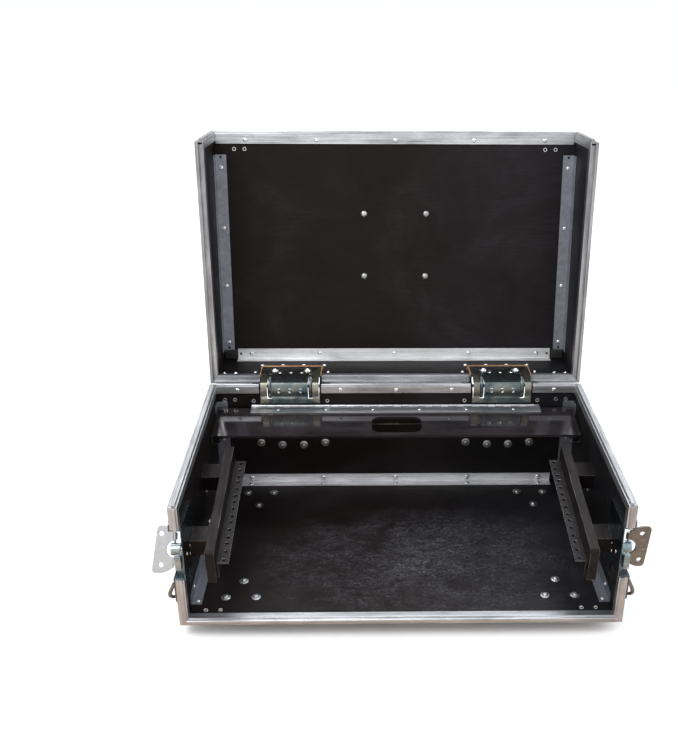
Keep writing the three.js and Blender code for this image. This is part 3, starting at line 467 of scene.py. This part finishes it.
DOME = [(3.5, -0.3), (3.5, 0.2), (3.1, 0.8), (2.2, 1.25), (1.3, 1.4), (1.1, 0.7), (0, 0.6)]
WIDE = [(4.4, -0.3), (4.4, 0.3), (4.0, 1.0), (2.9, 1.6), (1.6, 1.8), (1.3, 0.9), (0, 0.8)]
SMALL = [(2.5, -0.3), (2.5, 0.2), (2.1, 0.7), (1.2, 1.05), (0, 1.15)]
EYELET = [(3.3, -0.3), (3.3, 0.5), (2.9, 1.0), (2.1, 1.0), (1.7, 0.4), (1.6, -0.2)]
CAP = [(5.2, -0.3), (5.1, 0.8), (4.4, 1.9), (3.0, 2.7), (1.4, 3.1), (0, 3.2)]
WASHER = [(6.7, -0.3), (6.7, 0.8), (6.3, 1.1), (3.9, 1.1), (3.8, 2.3), (3.2, 3.1), (1.9, 3.6), (0, 3.7)]
BOSS = [(6.2, -0.3), (6.2, 1.4), (5.4, 2.4), (4.2, 2.4), (3.4, 1.5), (3.1, 0.6), (0, 0.5)]
HOLE_SHADE_DISC = [(2.1, 0.03), (0, 0.04)]
DIMPLE = [(4.6, -0.4), (4.2, 0.5), (3.5, 0.95), (2.7, 0.7), (1.8, 0.2), (0, 0.1)]


def fixings(name, body, outline, spots, space=CLOSED, material=RIVET, sides=14,
            squeeze=1.0):
    """One mesh of turned heads, each set on the face of its CAD node. A spot is (node, start, direction)."""
    bm = bmesh.new()
    for node, begin, direction in spots:
        point, normal = surface(node, begin, direction, space)
        place = Matrix.Translation(point) @ normal.to_track_quat("Z", "X").to_matrix().to_4x4()
        ring(bm, outline, place, sides, squeeze)
    return piece(name, bm, body, material)


def both(*spots):
    """Each spot and its mirror image. A node named with * stands on its own side."""
    found = []
    for node, (x, y, z), direction in spots:
        for side, s in SIDES:
            found.append((node.replace("*", side), (s * x, y, z), Vector((s * direction.x, *direction.yz))))
    return found


def row(first, last, count):
    return [first + (last - first) * i / (count - 1) for i in range(count)]


# Floor: bolts of the feet, and rivets.
fixings("foot_bolts", "base", WASHER, both(*[("base_floor", (x, y, 40), DOWN) for x, y in (
    (239.5, 47.5), (198.3, 47.6), (219, 84.5), (238.9, 325), (197.2, 325.6), (218.2, 287.5))]),
    material=BOLT, sides=20)
fixings("floor_eyelets", "base", EYELET, both(*[("base_floor", (x, 20, 40), DOWN) for x in (262.5, 243)]))
fixings("floor_angle_rivets", "base", DOME, both(
    *[("floor_angle_*", (275.8, y, 40), DOWN) for y in (38, 140, 240, 335)],
    *[("floor_angle_*", (240, y, 20), RIGHT) for y in (60, 160, 260)]))
fixings("rear_angle_rivets", "base", WIDE, [
    s for x in (-236, -118, 0, 118, 236)
    for s in (("floor_angle_rear", (x, 353.5, 40), DOWN), ("floor_angle_rear", (x, 300, 18.5), BACK))])
fixings("corner_angle_rivets", "base", SMALL, both(
    *[("corner_angle_*", (240, 353, z), RIGHT) for z in (45, 90)],
    *[("corner_angle_*", (277, 300, z), BACK) for z in (45, 90)]))
# Rear wall: hinge bolts and the ends of the outer rivets.
HINGE_BOLTS = ((-53.3, 83.1), (-18.4, 79.3), (16.2, 79.3), (50.4, 83.1))
fixings("hinge_nuts", "base", WASHER, both(*[
    ("base_wall_rear", (HINGES[1] + x, 300, z), BACK) for x, z in HINGE_BOLTS]),
        material=BOLT, sides=20)
fixings("rear_wall_eyelets", "base", EYELET, both(*[
    ("base_wall_rear", (x, 300, z), BACK) for x, z in ((271, 160), (255, 160), (225.5, 158), (109, 158))]))
fixings("rear_rim_rivets", "base", DOME, [("base_rear_rim_mid", (x, 300, 177.5), BACK) for x in (-88, 0, 88)]
        + both(("base_rear_rim_*", (250, 300, 177.5), BACK)))
# Side walls.
fixings("side_wall_eyelets", "base", EYELET, both(*[
    ("base_wall_*", (200, y, z), RIGHT) for y, z in (
        (79.5, 135.6), (79.5, 98.6), (79.5, 55.6), (218, 79), (218, 24))]))
fixings("latch_pan_rivets", "base", SMALL, both(*[
    ("latch_dish_*", (200, y, z), RIGHT) for y, z in ((47, 97), (58, 98), (44, 86), (24, 98))]),
    material=BRIGHT)
# Outside of the base.
fixings("base_outer_rivets", "base", DOME, both(
    *[("base_rim_*", (OUT, y, 163), LEFT) for y in row(30, 350, 5)],
    *[("base_edge_angles", (OUT, y, 19), LEFT) for y in row(60, 345, 5)],
    *[("base_edge_angles", (OUT, 354, z), LEFT) for z in (60, 110)],
    *[("base_edge_angles", (277, 420, z), AHEAD) for z in (60, 110)],
    *[("base_edge_angles", (x, 420, 19), AHEAD) for x in (50, 150, 250)],
    ("base_lower_rim_*", (OUT, 19, 22), LEFT),
    ("base_rear_rim_*", (250, 420, 163), AHEAD)),)
fixings("base_rear_rivets", "base", DOME, [("base_rear_rim_mid", (x, 420, 163), AHEAD) for x in (-88, 0, 88)])
fixings("latch_flange_rivets", "base", DOME, both(*[
    ("latch_dish_*", (OUT, y, z), LEFT) for y, z in (
        (79.5, 135.6), (79.5, 98.6), (79.5, 62), (52, 154), (20, 154), (52, 42.5))]),
    material=BRIGHT)
fixings("hinge_flange_bolts", "base", CAP, both(*[
    ("hinge_dish_*", (HINGES[1] + x, 420, z), AHEAD) for x, z in HINGE_BOLTS]),
    material=BRIGHT, sides=18)
fixings("batten_bolts", "base", CAP, both(
    ("base_wall_*", (OUT, 196, 108), LEFT), ("base_wall_*", (OUT, 110, 112), LEFT)),
        material=BRIGHT, sides=18)
# Flap.
fixings("flap_hinge_screws", "flap", SMALL, [("flap_hinge_leaf", (x, 349, 170), DOWN) for x in (
    -186, -111, -37, 37, 111, 186)], material=BRIGHT)

# Lid, in closed-case coordinates.
fixings("lid_plate_bolts", "lid", CAP, both(*[("lid_panel", (50, y, 220), UP) for y in (123.3, 223.3)]),
        OPENED, BOLT, 20)
fixings("lid_angle_rivets", "lid", DOME, both(
    *[("lid_angle_*", (275.8, y, 220), UP) for y in (52, 146, 239, 333)],
    *[("lid_angle_rear", (x, 352.5, 220), UP) for x in (124.5, 239)])
    + [("lid_angle_rear", (0, 352.5, 220), UP)], OPENED)
fixings("lid_front_rivets", "lid", DOME, both(*[("lid_front_rim", (x, 9.5, 250), UP) for x in (124, 236)])
        + [("lid_front_rim", (0, 9.5, 250), UP)], OPENED)
fixings("lid_eyelets", "lid", EYELET, both(
    *[("lid_panel", (x, 23.5, 220), UP) for x in (237.6, 254)],
    *[("lid_wall_rear", (x, 300, LID_Z + 22), BACK) for x in (257, 275)],
    *[("lid_wall_rear", (HINGES[1] + x, 300, LID_Z + 62), BACK) for x in (-51, -17, 17, 51)],
    *[("lid_wall_rear", (HINGES[1] + x, 300, LID_Z + 27), BACK) for x in (-58.6, 58.6)]), OPENED, BRIGHT)
fixings("lid_outer_rivets", "lid", DOME, both(
    *[("lid_rim_*", (OUT, y, LID_Z + 19), LEFT) for y in row(40, 350, 5)],
    *[("lid_rim_*", (OUT, 19, LID_Z + z), LEFT) for z in (60, 100)],
    *[("lid_edge_angles", (OUT, y, LID_Z + 116 - (y - 19) * LID_FALL / DEPTH), LEFT)
      for y in row(60, 340, 4)],
    *[("lid_edge_angles", (OUT, 354, LID_Z + z), LEFT) for z in (45, 65)],
    *[("lid_edge_angles", (277, y, 400), DOWN) for y in row(60, 340, 4)],
    *[("lid_edge_angles", (x, 354, 400), DOWN) for x in (50, 150, 240)],
    *[("lid_edge_angles", (x, 420, LID_Z + 88), AHEAD) for x in (50, 150, 250)],
    *[("lid_front_rim", (x, 19, 400), DOWN) for x in (50, 150, 250)],
    ("lid_rear_rim_*", (250, 420, LID_Z + 19), AHEAD))
    + [("lid_rear_rim_mid", (x, 420, LID_Z + 19), AHEAD) for x in (-88, 0, 88)], OPENED)
fixings("lid_hinge_flange_bolts", "lid", CAP, both(*[
    ("lid_hinge_dish_*", (HINGES[1] + x, 420, LID_Z + z), AHEAD)
    for x, z in ((-51, 62), (-17, 62), (17, 62), (51, 62), (-55, 27), (55, 27))]), OPENED, BRIGHT, 18)

# Black discs on the lid angles where holes stand: painted shade.
fixings("lid_angle_holes", "lid", HOLE_SHADE_DISC, both(
    ("lid_angle_*", (275.8, 342.3, 220), UP), ("lid_angle_*", (275.8, 35.5, 220), UP),
    ("lid_angle_rear", (257, 352.5, 220), UP)), OPENED, BLACK)

# A black block in each inner corner of the lid, between the ends of the angles.
for side, s in SIDES:
    bm = bmesh.new()
    top = LID_Z + LID_AHEAD - 353 * LID_FALL / DEPTH - 10
    bmesh.ops.create_cube(bm, size=1, matrix=Matrix.Translation((s * 273.6, 353.6, top - 2.2))
                          @ Matrix.Diagonal((20, 15, 4.4, 1)))
    bmesh.ops.bevel(bm, geom=bm.edges[:], offset=1.2, segments=3, profile=0.5, affect="EDGES")
    ring(bm, EYELET, Matrix.Translation((s * 273.6, 353.6, top - 4.4))
         @ Matrix.Rotation(math.pi, 4, "X") @ Matrix.Scale(1 / MM, 4), 14)
    bmesh.ops.transform(bm, matrix=OPENED, verts=bm.verts)
    piece(f"lid_corner_block_{side}", bm, "lid", BLACK)

# ---------------------------------------------------------------- hinges
for side, s in SIDES:
    middle = HINGES[s > 0]
    node = f"lid_hinge_dish_{side}"
    # Discs that fill the slots between the curved plate and its arms, a dark fill for the shade inside the hinge:
    # painted shade.
    bm = bmesh.new()
    for x in (-34.9, 29.2):
        place = Matrix.Translation(pivot) @ Matrix.Translation(((middle + x) * MM, 0, 0)) @ Matrix.Rotation(
            math.radians(90), 4, "Y")
        ring(bm, [(2.6, 0), (18.4, 0), (19.0, 0.6), (19.0, 5.1), (18.4, 5.7), (2.6, 5.7)], place, 40)
    piece(f"hinge_slot_shade_discs_{side}", bm, "lid", HINGE)
    fixings(f"hinge_dimples_{side}", "lid", DIMPLE, [
        (node, (middle + x, 320, 179.5), BACK) for x in (-17, 0, 17)], CLOSED, ZINC, 18, 0.7)
    fixings(f"hinge_pan_dimples_{side}", "lid", DIMPLE, [
        (node, (middle + x, 320, LID_Z + 9), BACK) for x in (-17, 0, 17)], OPENED, BRIGHT, 18, 0.7)
    fixings(f"hinge_bosses_{side}", "lid", BOSS, [
        (node, (middle + x, 320, LID_Z + 17), BACK) for x in (-26, 26)], OPENED, BRIGHT, 20)
    # The cut edge of the ply round the pan.
    bm = bmesh.new()
    half, top = 47.3, 37.3
    inner = [(-half, 2), (-half, top), (half, top), (half, 2)]
    outer = [(-half - 1.4, 2), (-half - 1.4, 37), (-half - 3.5, 39), (-half + 2.5, 43), (half - 2.5, 43),
             (half + 3.5, 39), (half + 1.4, 37), (half + 1.4, 2)]
    loop = outer + inner[::-1]
    faces = []
    for y in (355.4, 361.8):
        faces.append([bm.verts.new(OPENED @ Vector((middle + x, y, LID_Z + z))) for x, z in loop])
    near, far = faces
    bm.faces.new(near[::-1])
    bm.faces.new(far)
    for i in range(len(loop)):
        j = (i + 1) % len(loop)
        bm.faces.new((near[i], near[j], far[j], far[i]))
    bmesh.ops.recalc_face_normals(bm, faces=bm.faces)
    lip = piece(f"hinge_ply_edge_{side}", bm, "lid", RAW_PLY)
    soften(lip, 0.5)

# ---------------------------------------------------------------- latches
def sweep(bm, path, radius, sides=10, flat=1.0):
    """A tube along a path in mm; flat squeezes it across X."""
    rows = []
    for i, p in enumerate(path):
        way = (Vector(path[min(i + 1, len(path) - 1)]) - Vector(path[max(i - 1, 0)])).normalized()
        out = way.cross(RIGHT).normalized()
        turns = [2 * math.pi * k / sides for k in range(sides)]
        rows.append([bm.verts.new(CLOSED @ (
            Vector(p) + out * radius * math.cos(a) + RIGHT * radius * flat * math.sin(a))) for a in turns])
    for a, b in zip(rows, rows[1:]):
        for k in range(sides):
            j = (k + 1) % sides
            bm.faces.new((a[k], a[j], b[j], b[k]))
    for end in (rows[0], rows[-1]):
        bm.faces.new(end)
    bmesh.ops.recalc_face_normals(bm, faces=bm.faces)


for side, s in SIDES:
    # The dish's raised lip, which runs down its rear side, round the bottom and a little way up the front.
    out = 296.5
    bends = [math.radians(10 * k) for k in range(10)]
    corner = [(70 + 14 * math.cos(a), 52 - 14 * math.sin(a)) for a in bends]
    front = [(17.5 - 14 * math.sin(a), 52 - 14 * math.cos(a)) for a in bends]
    back = [(84, z) for z in (148, 130, 110, 90, 70)] + corner
    ahead = front + [(3.3, z) for z in (55, 58, 61, 64, 67)]
    path = [(out, y, z) for y, z in back]
    path += [(out + 7.5 * math.sin(math.pi * i / (len(ahead) - 1)) ** 1.2, y, z)
             for i, (y, z) in enumerate(ahead)]
    bm = bmesh.new()
    sweep(bm, [(s * x, y, z) for x, y, z in path], 2.2, 12, 1.2)
    piece(f"latch_dish_lip_{side}", bm, "base", WING)

# ---------------------------------------------------------------- ball corners
BALL = 20.5
for name, z, up, space in (("base", 0.0, 1, CLOSED), ("lid", LID_Z + LID_BACK, -1, OPENED)):
    for side, s in SIDES:
        bm = bmesh.new()
        vertex = Vector((s * HALF, DEPTH, z))
        inward = (Vector((-s, 0, 0)), Vector((0, -1, 0)), Vector((0, 0, up)))
        centre = vertex + sum(inward, Vector()) * 11.5
        bmesh.ops.create_uvsphere(bm, u_segments=28, v_segments=18, radius=BALL,
                                  matrix=Matrix.Translation(centre))
        inside = [f for f in bm.faces
                  if min((f.calc_center_median() - vertex).dot(way) for way in inward) > 8]
        bmesh.ops.delete(bm, geom=inside, context="FACES")
        for a in range(3):
            u, v, n = inward[a], inward[(a + 1) % 3], inward[(a + 2) % 3]
            shape = [(0, 0), (46, 0), (46, 12)]
            turns = [math.radians(15 * k) for k in range(7)]
            shape += [(14 + 32 * math.cos(t), 14 + 32 * math.sin(t)) for t in turns]
            shape += [(12, 46), (0, 46)]
            low = [bm.verts.new(vertex + u * p + v * q - n * 0.2) for p, q in shape]
            high = [bm.verts.new(vertex + u * p + v * q - n * 1.6) for p, q in shape]
            bm.faces.new(low)
            bm.faces.new(high[::-1])
            for i in range(len(shape)):
                j = (i + 1) % len(shape)
                bm.faces.new((low[i], high[i], high[j], low[j]))
            for p, q in ((38, 10), (10, 38), (30, 30)):
                place = Matrix.Translation(vertex + u * p + v * q - n * 1.6) @ (-n).to_track_quat(
                    "Z", "X").to_matrix().to_4x4() @ Matrix.Scale(1 / MM, 4)
                ring(bm, DOME, place, 12)
        bmesh.ops.recalc_face_normals(bm, faces=bm.faces)
        bmesh.ops.transform(bm, matrix=space, verts=bm.verts)
        piece(f"ball_corner_{name}_{side}", bm, name, BRIGHT)

# ---------------------------------------------------------------- camera and stage
cam = bpy.data.objects.new("camera", bpy.data.cameras.new("camera"))
bpy.context.scene.collection.objects.link(cam)
pitch, yaw, roll = (math.radians(a) for a in (26.95, 1.36, -0.43))
ahead = Vector((math.sin(yaw) * math.cos(pitch), math.cos(yaw) * math.cos(pitch), -math.sin(pitch)))
level = Vector((math.cos(yaw), -math.sin(yaw), 0))
below = ahead.cross(level)
across = level * math.cos(roll) + below * math.sin(roll)
down = below * math.cos(roll) - level * math.sin(roll)
turned = Matrix((across, -down, -ahead)).transposed().to_4x4()
cam.matrix_world = Matrix.Translation((-0.04382, -1.30866, 0.84310)) @ turned
cam.data.sensor_width = 36
cam.data.lens = 47.1
cam.data.shift_x = -0.0673
cam.data.shift_y = 0.0729
bpy.context.scene.camera = cam

bm = bmesh.new()
bmesh.ops.create_grid(bm, x_segments=1, y_segments=1, size=60)
mesh = bpy.data.meshes.new("floor")
bm.to_mesh(mesh)
bm.free()
floor = bpy.data.objects.new("floor", mesh)
floor.location = (0, 0, cad_box[0].z - 0.0002)
bpy.context.scene.collection.objects.link(floor)
m, nt, shader = start("pale_floor", Roughness=0.8)
# Glossy rays see a tan band on the floor in front of the case, a painted reflection of brown surroundings; camera
# and light rays see the floor plain pale.
where = add(nt, "ShaderNodeSeparateXYZ", {0: add(nt, "ShaderNodeTexCoord").outputs["Object"]}).outputs["Y"]
shift = add(nt, "ShaderNodeMapRange", {"Value": where, "From Min": -1.3, "From Max": 0.7}).outputs["Result"]
reflection_tint = ramp(nt, shift, (0.0, (0.75, 0.75, 0.76)), (0.28, (0.52, 0.43, 0.35)), (0.46, (0.50, 0.39, 0.31)),
            (0.5, (0.46, 0.36, 0.29)), (0.66, (0.60, 0.59, 0.58)), (1.0, (0.72, 0.72, 0.73)))
mirror = add(nt, "ShaderNodeLightPath").outputs["Is Glossy Ray"]
nt.links.new(mix(nt, mirror, (0.96, 0.96, 0.96), reflection_tint), shader.inputs["Base Color"])
mesh.materials.append(m)

world = bpy.data.worlds.new("studio")
world.use_nodes = True
bpy.context.scene.world = world
nt = world.node_tree
up = add(nt, "ShaderNodeSeparateXYZ", {0: add(nt, "ShaderNodeTexCoord").outputs["Generated"]}).outputs["Z"]
sky = ramp(nt, up, (0.0, (0.95, 0.95, 0.95)), (0.3, (1.0, 1.0, 1.0)), (0.6, (0.96, 0.98, 1.0)),
           (1.0, (0.88, 0.92, 0.98)))
camera_ray = add(nt, "ShaderNodeLightPath").outputs["Is Camera Ray"]
nt.links.new(mix(nt, camera_ray, sky, (1.0, 1.0, 1.0)), nt.nodes["Background"].inputs["Color"])
nt.nodes["Background"].inputs["Strength"].default_value = 1.1


def softbox(name, place, target, width, height, power, colour=(1, 1, 1)):
    light = bpy.data.lights.new(name, "AREA")
    light.shape, light.size, light.size_y = "RECTANGLE", width, height
    light.energy, light.color = power, colour
    o = bpy.data.objects.new(name, light)
    o.location = place
    o.rotation_euler = (Vector(target) - Vector(place)).to_track_quat("-Z", "Y").to_euler()
    bpy.context.scene.collection.objects.link(o)


softbox("key", (-1.1, -1.3, 2.3), (0, 0, 0.2), 1.4, 1.0, 36)
softbox("fill", (1.9, -0.6, 1.5), (0, 0, 0.2), 1.0, 1.2, 12)
softbox("back", (0.2, 1.2, 2.2), (0, 0, 0.2), 2.2, 0.9, 24, (0.93, 0.97, 1))
bpy.context.scene.view_settings.view_transform = "Standard"

bpy.context.view_layer.update()
